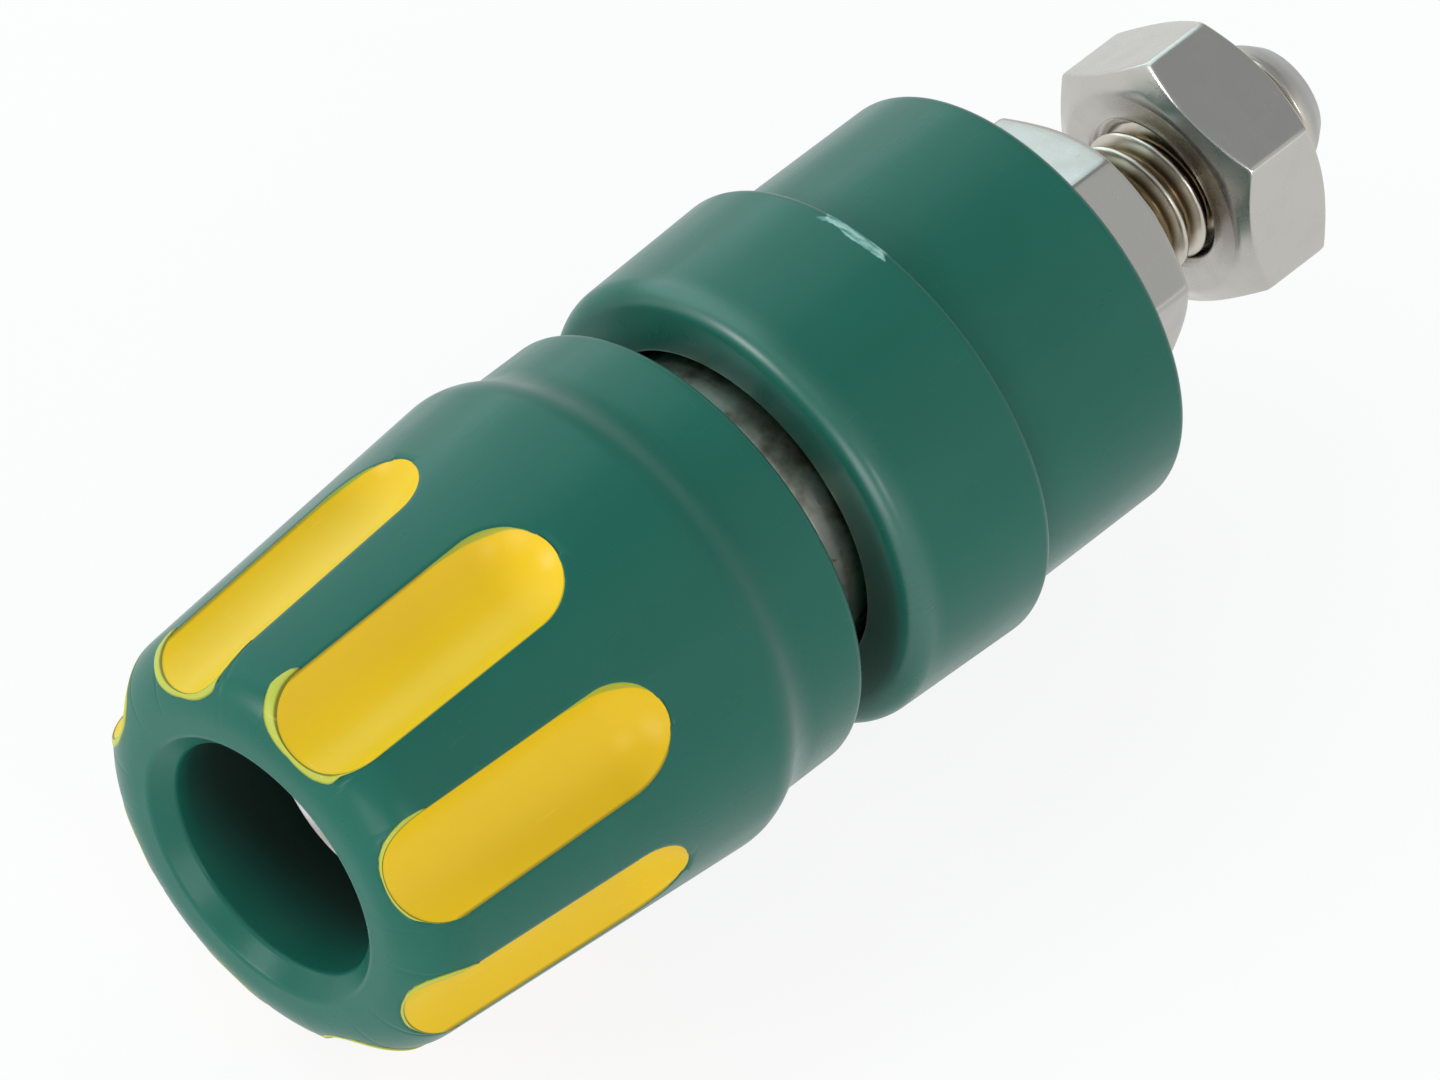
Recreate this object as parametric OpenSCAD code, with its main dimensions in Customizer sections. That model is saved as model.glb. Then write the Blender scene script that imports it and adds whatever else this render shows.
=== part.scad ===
// Insulated 4 mm banana socket with a screw-down knob.
// The axis lies along Y: the knob points to -Y, the nuts to +Y.
// The origin is on the axis, in the plane of the panel between the two insulators.

/* [Knob] */
// Length of the knob from its front face to the rear edge of the skirt
knob_length = 15.55; // [14.7:0.05:18]
// Gap between the closed knob and the front insulator
knob_gap = 1.8; // [1.6:0.05:2.3]
// Diameter of the taper where it meets the plane of the front face
knob_front_d = 12.3; // [11.8:0.1:13]
// Largest diameter of the knob, at the shoulder
knob_shoulder_d = 14.15; // [13.8:0.05:15]
// Length of the taper from the front face to the shoulder
taper_length = 11.85; // [11:0.05:12.4]
// Height of the step from the shoulder down to the skirt
skirt_step = 0.475; // [0.3:0.025:0.6]
// Radius of the front edge
front_round = 1.8; // [1.2:0.1:1.9]
// Radius of the shoulder
shoulder_round = 1.3; // [1:0.1:1.6]
// Radius of the rear edge of the skirt
skirt_edge = 0.2; // [0.1:0.05:0.4]
// Bore of the knob in front of the post
mouth_d = 6.95; // [6.4:0.05:7.2]
// Width of the chamfer at the mouth
mouth_chamfer = 0.53; // [0.3:0.01:0.7]
// Depth of the hollow in the skirt
skirt_hollow = 2.75; // [2.4:0.05:3.2]

/* [Flutes] */
// Number of grip flutes
flute_count = 8; // [6:1:9]
// Direction of the first flute about the axis, from the top towards +X
flute_angle = 14.5; // [0:0.5:45]
// Width of a flute at the surface
flute_width = 3.12; // [2.4:0.02:3.4]
// Depth of a flute down to its yellow floor
flute_depth = 0.92; // [0.7:0.02:1.1]
// Distance of the rear tip of a flute from the front face
flute_reach = 8.7; // [7:0.1:10]
// Thickness of the yellow strip at the middle of a flute
inlay_thickness = 0.34; // [0.25:0.01:0.5]
// Overhang of the hollow in the strip past each edge of its flute, which sinks the edges of the strip
inlay_overhang = 0.04; // [0.02:0.01:0.1]

/* [Threaded insert] */
// Diameter of the threaded insert
insert_d = 9; // [8.6:0.1:9.4]
// Length of the insert ahead of its neck
insert_length = 8.2; // [7.5:0.1:9]
// Diameter of the neck that carries the clamp ring
neck_d = 7.3; // [7.1:0.1:7.5]
// Diameter of the rolled lip at the end of the neck
neck_lip_d = 8; // [7.8:0.1:8.2]
// Thickness of the rolled lip
neck_lip_t = 0.3; // [0.2:0.05:0.35]
// Depth of the groove that keys the insert into the knob
insert_groove = 0.4; // [0.2:0.05:0.6]
// Width of that groove
insert_groove_w = 1.6; // [1:0.1:2]
// Distance of the groove from the front end of the insert
insert_groove_at = 3.3; // [2.5:0.1:4]

/* [Clamp ring] */
// Outside diameter of the clamp ring and of the collar below it
collar_d = 9; // [8.8:0.1:9.2]
// Thickness of the clamp ring
ring_t = 2.2; // [2:0.05:2.5]
// Depth of the counterbore for the rolled lip
ring_counterbore = 0.8; // [0.7:0.05:1]

/* [Contact post] */
// Outside diameter of the threaded socket tube
post_d = 5.9; // [5.8:0.05:6]
// Distance from the front face of the knob to the front end of the post
post_recess = 3.5; // [3:0.1:4.5]
// Bore for the plug
socket_d = 4; // [3.9:0.05:4.1]
// Depth of the plug bore from the front end of the post
socket_depth = 14.6; // [13.6:0.1:15.5]
// Width of the lead-in chamfer at the front of the plug bore
socket_lead = 0.8; // [0.4:0.05:0.8]
// Length of the drill point at the bottom of the plug bore
drill_point = 1; // [0.5:0.1:1.1]
// Diameter of the cross hole for a bare wire
wire_hole_d = 2.6; // [1.5:0.1:2.7]
// Distance from the collar to the near edge of the cross hole
wire_hole_edge = 0.2; // [0.1:0.05:0.3]
// Length of the collar
collar_length = 3.35; // [3:0.05:3.6]
// Diameter of the boss behind the collar
boss_d = 6.8; // [6.4:0.1:7.2]
// Width over the two flats of the boss
boss_flats = 5.4; // [5:0.1:5.8]
// Length of the boss
boss_length = 2; // [1.5:0.1:2.1]
// Diameter of the threaded stud
stud_d = 4; // [3.9:0.05:4.2]
// Length of stud behind the rear insulator
stud_length = 10.4; // [9.5:0.1:13]
// Chamfer on the end of the stud
stud_chamfer = 0.5; // [0.3:0.05:0.7]

/* [Insulators] */
// Thickness of the front insulator ahead of the panel
flange_t = 4.9; // [4.8:0.05:5.4]
// Diameter of the front insulator at its front
flange_front_d = 13.45; // [13:0.05:13.6]
// Diameter of the front insulator at the panel
flange_rear_d = 13.8; // [13.6:0.05:14.4]
// Radius of its front edge
flange_round = 0.6; // [0.3:0.05:0.7]
// Radius of the edges at the panel and at the rear
small_round = 0.3; // [0.15:0.05:0.4]
// Plastic left between the boss of the post and the panel plane
boss_web = 0.6; // [0.5:0.05:1]
// Diameter of the rear insulator
rear_d = 12.6; // [12.2:0.1:13.2]
// Length of the rear insulator
rear_length = 5.7; // [5.6:0.1:7]
// Diameter of the spigot that passes through the panel
spigot_d = 9; // [8.6:0.1:9.4]
// Length of the spigot
spigot_length = 4; // [3.4:0.1:4.1]
// Width of the key on the spigot
key_width = 2; // [1.5:0.1:2.5]
// Height of the key above the spigot
key_height = 0.6; // [0.4:0.05:0.7]
// Length of the key
key_length = 2.5; // [2:0.1:3]

/* [Nuts] */
// Width across the flats of both nuts
nut_flats = 7; // [6.5:0.1:7.5]
// Diameter of the round face that the chamfer leaves on a nut
nut_face_d = 6.1; // [5.9:0.1:6.4]
// Angle of the chamfer of a nut to its face
nut_chamfer_angle = 30; // [20:1:35]
// Thickness of both nuts
nut_t = 3.2; // [2.8:0.1:3.4]
// Space between the two nuts
nut_space = 2.15; // [1.8:0.05:2.6]
// Direction of one corner of the fixing nut about the axis
fixing_nut_angle = 13; // [0:1:60]
// Direction of one corner of the terminal nut about the axis
terminal_nut_angle = 49.7; // [0:0.1:60]

/* [Clearances] */
// Radial play of the threads
thread_play = 0.05; // [0.03:0.01:0.08]
// Radial and axial play of the clamp ring on its neck
ring_play = 0.05; // [0.03:0.01:0.08]
// Radial play around the clamp ring and the collar
collar_play = 0.35; // [0.25:0.05:0.4]
// Play of the spigot, key and boss in their pockets
fit_play = 0.1; // [0.06:0.01:0.15]

/* [Hidden] */
$fn = 96;
green = [0.07, 0.42, 0.31];
yellow = [0.96, 0.78, 0.12];
nickel = [0.75, 0.74, 0.71];

// Stations along the axis
flange_y = -flange_t;
skirt_y = flange_y - knob_gap;
front_y = skirt_y - knob_length;
shoulder_y = front_y + taper_length;
hollow_y = skirt_y - skirt_hollow;
post_y = front_y + post_recess;
boss_y = -boss_length - boss_web;
collar_y = boss_y - collar_length;
ring_y = collar_y - ring_t;
wire_y = collar_y - wire_hole_edge - wire_hole_d / 2;
insert_rear_y = ring_y - ring_play;
insert_front_y = insert_rear_y - insert_length;
fixing_nut_y = rear_length;
terminal_nut_y = fixing_nut_y + nut_t + nut_space;
stud_end_y = rear_length + stud_length;

// Radii of the knob
front_r = knob_front_d / 2;
shoulder_r = knob_shoulder_d / 2;
skirt_r = shoulder_r - skirt_step;
taper_slope = (shoulder_r - front_r) / taper_length;
taper_tilt = atan(taper_slope);
mouth_r = mouth_d / 2;
// Where the shoulder arc meets the skirt
shoulder_sweep = acos(1 - skirt_step / shoulder_round);

// Overrun of cutters past the faces that they cut
past = 1;
// Overrun of the chamfer of a nut past its corners
nut_past = 0.2;

// Turns a shape drawn about Z so that it lies about Y, with its front towards -Y
module on_axis() {
    rotate([-90, 0, 0]) children();
}

// Turns a shape drawn towards the top to a direction about the axis, towards +X
module turned(angle) {
    rotate([0, angle, 0]) children();
}

// Solid of revolution from points [radius, station]
module turning(points) {
    on_axis() rotate_extrude() polygon(points);
}

// Round bar between two stations
module bar(d, y0, y1) {
    on_axis() translate([0, 0, y0]) cylinder(d = d, h = y1 - y0);
}

// Quarter round at a corner, as points from angle a0 to a1 about its centre
function arc(r, y, radius, a0, a1, steps = 12) =
    [for (i = [0:steps]) let (a = a0 + (a1 - a0) * i / steps) [r + radius * cos(a), y + radius * sin(a)]];

function taper_r(y) = front_r + (y - front_y) * taper_slope;

// Outline of the closed knob form, without its bores
module knob_form() {
    round_y = front_y + front_round;
    edge_r = taper_r(round_y);
    turning(concat(
        [[0, front_y]],
        arc(edge_r - front_round, round_y, front_round, -90, 0),
        arc(shoulder_r - shoulder_round, shoulder_y, shoulder_round, 0, shoulder_sweep),
        arc(skirt_r - skirt_edge, skirt_y - skirt_edge, skirt_edge, 0, 90),
        [[0, skirt_y]]));
}

// Radius of a round cutter of a given half width and depth at a round surface
function cutter_r(half_width, depth, surface_r) =
    let (drop = depth - surface_r + sqrt(surface_r ^ 2 - half_width ^ 2))
    (half_width ^ 2 + drop ^ 2) / (2 * drop);

// Round-ended cutter for one flute: it runs along the taper and out over the front edge
module flute_cutter(half_width, depth) {
    tip_y = front_y + flute_reach;
    mid_r = taper_r((front_y + tip_y) / 2);
    radius = cutter_r(half_width, depth, mid_r);
    end_y = tip_y - half_width;
    run = flute_reach + past;
    axis_r = taper_r(end_y) - depth + radius;
    translate([0, end_y, axis_r])
        rotate([taper_tilt, 0, 0])
            on_axis()
                rotate_extrude()
                    intersection() {
                        union() {
                            circle(radius);
                            translate([0, -run]) square([radius, run]);
                        }
                        translate([0, -run]) square([radius, run + radius]);
                    }
}

// Pocket in the knob that a yellow strip lies in
module flute_pocket() {
    flute_cutter(flute_width / 2, flute_depth + inlay_thickness);
}

// Hollow above the floor of a strip
module strip_hollow() {
    flute_cutter(flute_width / 2 + inlay_overhang, flute_depth);
}

module around_knob() {
    for (i = [0:flute_count - 1])
        turned(flute_angle + i * 360 / flute_count) children();
}

// Outside of the threaded insert, with the keying groove
module insert_form() {
    groove_y = insert_front_y + insert_groove_at;
    groove_end_y = groove_y + insert_groove_w;
    lip_y = collar_y - ring_counterbore + ring_play;
    difference() {
        union() {
            bar(insert_d, insert_front_y, insert_rear_y);
            bar(neck_d, insert_rear_y - past, lip_y + neck_lip_t);
            bar(neck_lip_d, lip_y, lip_y + neck_lip_t);
        }
        difference() {
            bar(insert_d + past, groove_y, groove_end_y);
            bar(insert_d - 2 * insert_groove, groove_y - past, groove_end_y + past);
        }
    }
}

module knob_shell() {
    color(green) difference() {
        knob_form();
        turning([
            [0, front_y - past],
            [mouth_r + mouth_chamfer + past, front_y - past],
            [mouth_r, front_y + mouth_chamfer],
            [mouth_r, insert_front_y],
            [0, insert_front_y]]);
        bar(collar_d + 2 * collar_play, hollow_y, skirt_y + past);
        insert_form();
        around_knob() flute_pocket();
    }
}

module yellow_inlay(i) {
    color(yellow) intersection() {
        knob_form();
        turned(flute_angle + (i - 1) * 360 / flute_count)
            difference() {
                flute_pocket();
                strip_hollow();
            }
    }
}

module knob_insert() {
    color(nickel) difference() {
        insert_form();
        bar(post_d + 2 * thread_play, insert_front_y - past, collar_y);
    }
}

module clamp_ring() {
    counterbore_y = collar_y - ring_counterbore;
    color(nickel) difference() {
        bar(collar_d, ring_y, collar_y);
        bar(neck_d + 2 * ring_play, ring_y - past, collar_y + past);
        bar(neck_lip_d + 2 * ring_play, counterbore_y, collar_y + past);
    }
}

// Round boss with two flats, as the key of the post in the front insulator
module boss(play, y0, y1) {
    intersection() {
        bar(boss_d + 2 * play, y0, y1);
        translate([-boss_d, y0, -boss_flats / 2 - play])
            cube([2 * boss_d, y1 - y0, boss_flats + 2 * play]);
    }
}

module contact_post() {
    drill_y = post_y + socket_depth;
    socket_r = socket_d / 2;
    stud_r = stud_d / 2;
    color(nickel) difference() {
        union() {
            bar(post_d, post_y, collar_y + past);
            bar(collar_d, collar_y, boss_y);
            boss(0, boss_y - past, boss_y + boss_length);
            turning([
                [0, boss_y],
                [stud_r, boss_y],
                [stud_r, stud_end_y - stud_chamfer],
                [stud_r - stud_chamfer, stud_end_y],
                [0, stud_end_y]]);
        }
        turning([
            [0, post_y - past],
            [socket_r + socket_lead + past, post_y - past],
            [socket_r, post_y + socket_lead],
            [socket_r, drill_y],
            [0, drill_y + drill_point]]);
        translate([0, wire_y, 0])
            rotate([0, 90, 0])
                cylinder(d = wire_hole_d, h = 2 * collar_d, center = true);
    }
}

module front_insulator() {
    front_flange_r = flange_front_d / 2;
    rear_flange_r = flange_rear_d / 2;
    boss_end_y = boss_y + boss_length + fit_play;
    color(green) difference() {
        union() {
            turning(concat(
                [[0, flange_y]],
                arc(front_flange_r - flange_round, flange_y + flange_round, flange_round, -90, 0),
                arc(rear_flange_r - small_round, -small_round, small_round, 0, 90),
                [[0, 0]]));
            bar(spigot_d, -past, spigot_length);
            translate([-key_width / 2, -past, 0])
                cube([key_width, key_length + past, spigot_d / 2 + key_height]);
        }
        bar(collar_d + 2 * collar_play, flange_y - past, boss_y);
        boss(fit_play, boss_y - past, boss_end_y);
        bar(stud_d + 2 * fit_play, boss_y, spigot_length + past);
    }
}

module rear_insulator() {
    rear_r = rear_d / 2;
    color(green) difference() {
        turning(concat(
            [[0, 0], [rear_r, 0]],
            arc(rear_r - small_round, rear_length - small_round, small_round, 0, 90),
            [[0, rear_length]]));
        bar(spigot_d + 2 * fit_play, -past, spigot_length + fit_play);
        translate([-key_width / 2 - fit_play, -past, 0])
            cube([key_width + 2 * fit_play, key_length + fit_play + past,
                spigot_d / 2 + key_height + fit_play]);
        bar(stud_d + 2 * fit_play, -past, rear_length + past);
    }
}

// Hexagon nut with both faces chamfered
module nut(y, corner_angle) {
    corner_r = nut_flats / sqrt(3);
    face_r = nut_face_d / 2;
    rim_r = corner_r + nut_past;
    drop = (rim_r - face_r) * tan(nut_chamfer_angle);
    translate([0, y, 0]) difference() {
        intersection() {
            turned(corner_angle) on_axis() rotate(90) cylinder(r = corner_r, h = nut_t, $fn = 6);
            turning([
                [0, 0],
                [face_r, 0],
                [rim_r, drop],
                [rim_r, nut_t - drop],
                [face_r, nut_t],
                [0, nut_t]]);
        }
        bar(stud_d + 2 * thread_play, -past, nut_t + past);
    }
}

module fixing_nut() {
    color(nickel) nut(fixing_nut_y, fixing_nut_angle);
}

module terminal_nut() {
    color(nickel) nut(terminal_nut_y, terminal_nut_angle);
}

knob_shell();
knob_insert();
clamp_ring();
contact_post();
front_insulator();
rear_insulator();
fixing_nut();
terminal_nut();
for (i = [1:flute_count])
    yellow_inlay(i);
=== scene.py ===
# %% [markdown]
# # A striped banana socket
# The object is a screw-down laboratory socket. A green knob with yellow grip flutes turns on a
# nickel-plated post, a ring under the knob clamps a bare wire, two green insulators grip a panel
# between them, and an M4 stud with two nuts takes the cable behind the panel.
# The solids give the sizes, and this script gives the surfaces. Each new piece is a surface worked
# out with numpy in millimetres and laid exactly over the solid that it stands for.

# %% Load the solids
import math

import bmesh
import bpy
import numpy as np
from mathutils import Matrix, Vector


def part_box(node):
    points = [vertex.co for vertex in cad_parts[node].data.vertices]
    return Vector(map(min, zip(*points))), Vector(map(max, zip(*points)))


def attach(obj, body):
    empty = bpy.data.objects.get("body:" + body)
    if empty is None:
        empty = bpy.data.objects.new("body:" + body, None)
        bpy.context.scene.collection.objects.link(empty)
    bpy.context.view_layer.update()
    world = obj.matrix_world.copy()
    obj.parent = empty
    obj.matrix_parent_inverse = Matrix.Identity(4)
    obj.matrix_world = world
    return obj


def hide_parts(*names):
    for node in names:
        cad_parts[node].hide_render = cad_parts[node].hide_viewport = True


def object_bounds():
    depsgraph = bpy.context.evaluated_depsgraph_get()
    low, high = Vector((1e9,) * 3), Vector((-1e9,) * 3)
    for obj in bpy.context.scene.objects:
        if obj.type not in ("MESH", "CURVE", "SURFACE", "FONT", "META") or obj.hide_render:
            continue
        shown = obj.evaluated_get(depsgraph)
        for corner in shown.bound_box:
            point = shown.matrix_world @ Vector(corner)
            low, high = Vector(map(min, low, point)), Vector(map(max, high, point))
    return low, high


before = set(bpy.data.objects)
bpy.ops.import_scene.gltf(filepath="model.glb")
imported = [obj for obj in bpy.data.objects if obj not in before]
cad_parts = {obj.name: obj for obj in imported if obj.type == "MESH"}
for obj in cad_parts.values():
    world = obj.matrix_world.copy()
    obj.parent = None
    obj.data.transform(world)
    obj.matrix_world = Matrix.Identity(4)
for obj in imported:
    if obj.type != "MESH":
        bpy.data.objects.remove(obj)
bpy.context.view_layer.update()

# %% [markdown]
# ## Where the pieces lie
# The axis of the socket is the Y axis, with the knob at the low end. The stations along it and the
# outer radii come from the boxes of the solids, so nothing has to be fitted by eye. What a box
# can't tell, such as the width of a flute, is a named size, the same as on the real part.

# %% Read the stations and radii from the solids
MM = 0.001


def span(name):
    """Lowest and highest corner of a solid at rest, in millimetres."""
    low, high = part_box(name)
    return np.array(low) / MM, np.array(high) / MM


knob_low, knob_high = span("knob_shell")
front_y, skirt_y, shoulder_r = knob_low[1], knob_high[1], knob_high[0]
insert_front_y = span("knob_insert")[0][1]
ring_low, ring_high = span("clamp_ring")
post_low, post_high = span("contact_post")
flange_low, flange_high = span("front_insulator")
rear_r, rear_y = span("rear_insulator")[1][:2]
print("knob from", round(front_y, 2), "to", round(skirt_y, 2), "mm, radius", round(shoulder_r, 3))

# %% [markdown]
# ## Grids of points
# Nearly every piece here was turned or moulded, so its surface is a profile carried round the axis.
# Blender's Screw modifier could do that, but the flutes, the thread and the hexagon flats change
# the radius from place to place. So each surface is a plain grid of points: rows run along the
# profile and columns round the axis. Whole arrays go into the mesh at once with foreach_set.

# %% Turn grids of points into meshes
WELD = 0.001


def quads(rows, cols, loop_rows, loop_cols):
    """Corner numbers of the faces of a grid: each face joins a point, its neighbour on the row and
    the two points beside them on the next row. A looped side joins its end to its start."""
    row = np.arange(rows if loop_rows else rows - 1)[:, None]
    col = np.arange(cols if loop_cols else cols - 1)
    next_row, next_col = (row + 1) % rows, (col + 1) % cols
    corners = [row * cols + col, row * cols + next_col,
               next_row * cols + next_col, next_row * cols + col]
    return np.stack(np.broadcast_arrays(*corners), axis=-1).reshape(-1, 4)


def linked(name, data):
    """Makes an object from a mesh, a lamp or a camera and links it to the scene."""
    made = bpy.data.objects.new(name, data)
    bpy.context.scene.collection.objects.link(made)
    return made


def add_piece(name, grid, body, stands_for=(), loops=(True, True), marks=None, weld=0.0):
    """Makes one smooth mesh from a grid of points in millimetres, and rides it on a body. loops
    says whether rows and columns close into rings, and marks holds named attributes. Points
    closer together than weld are joined, which closes seams and poles."""
    points, faces = grid.reshape(-1, 3) * MM, quads(*grid.shape[:2], *loops)
    mesh = bpy.data.meshes.new(name)
    mesh.vertices.add(len(points))
    mesh.vertices.foreach_set("co", points.astype(np.float32).ravel())
    mesh.loops.add(faces.size)
    mesh.loops.foreach_set("vertex_index", faces.astype(np.int32).ravel())
    mesh.polygons.add(len(faces))
    mesh.polygons.foreach_set("loop_start", np.arange(0, faces.size, 4, dtype=np.int32))
    mesh.update(calc_edges=True)
    for label, values in (marks or {}).items():
        layer = mesh.attributes.new(label, "FLOAT", "POINT")
        spread = np.broadcast_to(values, grid.shape[:2])
        layer.data.foreach_set("value", spread.astype(np.float32).ravel())
    if weld:
        work = bmesh.new()
        work.from_mesh(mesh)
        bmesh.ops.remove_doubles(work, verts=work.verts, dist=weld * MM)
        bmesh.ops.dissolve_degenerate(work, edges=work.edges, dist=0.1 * weld * MM)
        work.to_mesh(mesh)
        work.free()
    mesh.validate()
    mesh.shade_smooth()
    piece = linked(name, mesh)
    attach(piece, body)
    if stands_for:
        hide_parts(*stands_for)
    print(name, "has", len(mesh.polygons), "faces")
    return piece


# %% [markdown]
# ## Profiles with soft corners
# No corner on a moulded or turned part is truly sharp, and the thin highlights along its edges are
# what makes it look real. Here a profile is a list of corners, each with its own radius, and every
# corner is replaced by an arc. A Bevel modifier would give all corners of a piece one width, unless
# each edge got a weight.

# %% Draw a profile from its corners
NEARLY_STRAIGHT, SHORTEST, COLUMNS = 1.56, 1e-6, 192


def soft_profile(corners, steps, longest):
    """Points of a profile through corners (radius, station, rounding). A rounded corner is an arc
    that touches both of its sides: its centre lies on the line that halves the corner, at the
    rounding divided by the sine of half the angle. Straight stretches are divided so that none is
    too long."""
    corners = np.array(corners, float)
    spots = [corners[:1, :2]]
    for before, here, after in zip(corners, corners[1:], corners[2:]):
        to_before, to_after = before[:2] - here[:2], after[:2] - here[:2]
        to_before /= np.linalg.norm(to_before)
        to_after /= np.linalg.norm(to_after)
        half = math.acos(np.clip(to_before @ to_after, -1, 1)) / 2
        if here[2] <= 0 or half > NEARLY_STRAIGHT:
            spots.append(here[None, :2])
            continue
        middle = (to_before + to_after) / np.linalg.norm(to_before + to_after)
        centre = here[:2] + middle * here[2] / math.sin(half)
        first = here[:2] + to_before * here[2] / math.tan(half) - centre
        last = here[:2] + to_after * here[2] / math.tan(half) - centre
        turn = math.pi - 2 * half
        share = np.linspace(0, 1, steps + 1)[:, None]
        arc = (np.sin((1 - share) * turn) * first + np.sin(share * turn) * last) / math.sin(turn)
        spots.append(centre + arc)
    spots.append(corners[-1:, :2])
    line = np.concatenate(spots)
    lengths = np.linalg.norm(np.diff(line, axis=0), axis=1)
    keep = np.concatenate([[True], lengths > SHORTEST])
    line, lengths = line[keep], lengths[lengths > SHORTEST]
    counts = np.maximum(1, np.ceil(lengths / longest)).astype(int)
    pick = np.repeat(np.arange(len(counts)), counts)
    part = (np.arange(len(pick)) - np.repeat(np.cumsum(counts) - counts, counts)) / counts[pick]
    filled = line[pick] + part[:, None] * (line[pick + 1] - line[pick])
    return np.concatenate([filled, line[-1:]])


def unit(values):
    """Cuts values off below 0 and above 1."""
    return np.clip(values, 0, 1)


def full_turn(columns):
    """Equal steps of angle once round the axis."""
    return np.arange(columns) * 2 * np.pi / columns


def carried_round(radius, station, angle):
    """Points at a radius and a station along Y, in a direction about the axis: angle 0 is up, and a
    quarter turn is +X. X is the radius times the sine of the angle, and Z the radius times its
    cosine. The three arrays are spread to one shape."""
    radius, station, angle = np.broadcast_arrays(radius, station, angle)
    return np.stack([radius * np.sin(angle), station, radius * np.cos(angle)], axis=-1)


def turned_grid(profile, columns=COLUMNS):
    """A profile of (radius, station) points carried once round the axis."""
    return carried_round(profile[:, :1], profile[:, 1:], full_turn(columns))


def facing(angle, side):
    """1 in the direction of a side, falling to 0 a quarter turn away: the cosine, cut off at 0."""
    return unit(np.cos(angle - side))


# %% [markdown]
# ## The camera
# The photograph was taken with a long lens, so the edges of the socket hardly converge. Its round
# edges are ellipses, and their shape gives the angle between the axis and the line of sight. The
# camera stands at that angle, and the aim is moved a little off the origin to place the object.
# A camera can also be moved by eye in the viewport, but numbers can be measured and fitted.

# %% Place the camera


def stand(thing, azimuth, elevation, distance, aim_right=0.0, aim_up=0.0):
    """Stands a camera or a lamp at a distance and turns it to the origin, or to an aim beside it.
    The direction is in degrees: azimuth 0 looks at the front of the knob, and 90 is on +X. The
    axis called back points from the aim to the thing, right is level, and up is across both."""
    a, e = math.radians(azimuth), math.radians(elevation)
    back = np.array([math.sin(a) * math.cos(e), -math.cos(a) * math.cos(e), math.sin(e)])
    right = np.array([math.cos(a), math.sin(a), 0.0])
    up = np.cross(back, right)
    place = np.eye(4)
    place[:3, :3] = np.stack([right, up, back], axis=1)
    place[:3, 3] = aim_right * right + aim_up * up + distance * back
    thing.matrix_world = Matrix(place.tolist())


camera_data = bpy.data.cameras.new("camera")
camera_data.lens, camera_data.sensor_width = 480.0, 36.0
camera_data.clip_start, camera_data.clip_end = 0.01, 20.0
camera = linked("camera", camera_data)
stand(camera, azimuth=44.0, elevation=47.11, distance=0.5,
      aim_right=-3.68 * MM, aim_up=-3.32 * MM)
bpy.context.scene.camera = camera
print("camera at", [round(x, 4) for x in camera.location])

# %% [markdown]
# ## The form of the knob
# The knob is a cone that widens to a rounded shoulder, steps down to a short skirt and is hollow
# from both ends. Only the flutes break the round form. The outline is drawn as one closed loop,
# from the bore, over the front edge, along the outside and back through the hollow. A curve with
# a Screw modifier could be turned in the same way, but then the flutes would have to be cut out of
# its mesh. As a list of points the outline can still change from column to column.

# %% Draw the outline of the knob
taper_length, knob_front_r, front_round, front_length = 11.85, 6.15, 1.8, 2.4
mouth_r, mouth_chamfer, mouth_round = 3.475, 0.53, 0.25
shoulder_round, step_length, skirt_step, waist_round, skirt_edge = 1.7, 1.36, 0.475, 2.1, 0.32
hollow_r, hollow_depth, insert_r = 4.85, 2.75, 4.5
hollow_edge, hollow_corner, seat_edge = 0.15, 0.1, 0.05
flute_reach, flute_half, flute_depth, flute_start_r = 8.7, 1.56, 0.92, 4.3
past_tip = np.array([0.03, 0.08, 0.16, 0.3, 0.5, 0.8, 1.2])
straight_rows, tip_rows = 26, 22
taper_slope = (shoulder_r - knob_front_r) / taper_length
step_slope = -math.tan(math.radians(26))
step_y, tip_y = front_y + taper_length + step_length, front_y + flute_reach
skirt_r, hollow_y = shoulder_r - skirt_step, skirt_y - hollow_depth


def cone(station):
    """Radius of the taper, carried on straight past the rounded front edge."""
    return knob_front_r + (station - front_y) * taper_slope


crest_y = ((skirt_r - step_slope * step_y - knob_front_r + taper_slope * front_y)
           / (taper_slope - step_slope))
nose = soft_profile([
    (mouth_r, insert_front_y, 0),
    (mouth_r, front_y + mouth_chamfer, mouth_round),
    (mouth_r + mouth_chamfer, front_y, mouth_round),
    (knob_front_r, front_y, front_round),
    (knob_front_r + front_length * taper_slope, front_y + front_length, 0)],
    steps=18, longest=0.18)
straight_y = np.linspace(nose[-1, 1], tip_y - flute_half, straight_rows)[1:]
round_y = tip_y - flute_half * (1 - np.sin(np.linspace(0, np.pi / 2, tip_rows)))[1:]
taper_y = np.concatenate([straight_y, round_y, tip_y + past_tip])
taper = np.stack([cone(taper_y), taper_y], axis=1)
rear_end = soft_profile([
    tuple(taper[-1]) + (0,),
    (cone(crest_y), crest_y, shoulder_round),
    (skirt_r, step_y, waist_round),
    (skirt_r, skirt_y, skirt_edge),
    (hollow_r, skirt_y, hollow_edge),
    (hollow_r, hollow_y, hollow_corner),
    (insert_r, hollow_y, seat_edge),
    (insert_r, insert_front_y, 0)], steps=9, longest=0.3)
outline = np.concatenate([nose, taper, rear_end[1:]])
first_row = np.argmax(nose[:, 0] > flute_start_r)
outer = np.arange(first_row, len(nose) + len(taper))
print("outline of the knob has", len(outline), "points,", len(outer), "of them beside flutes")

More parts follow.
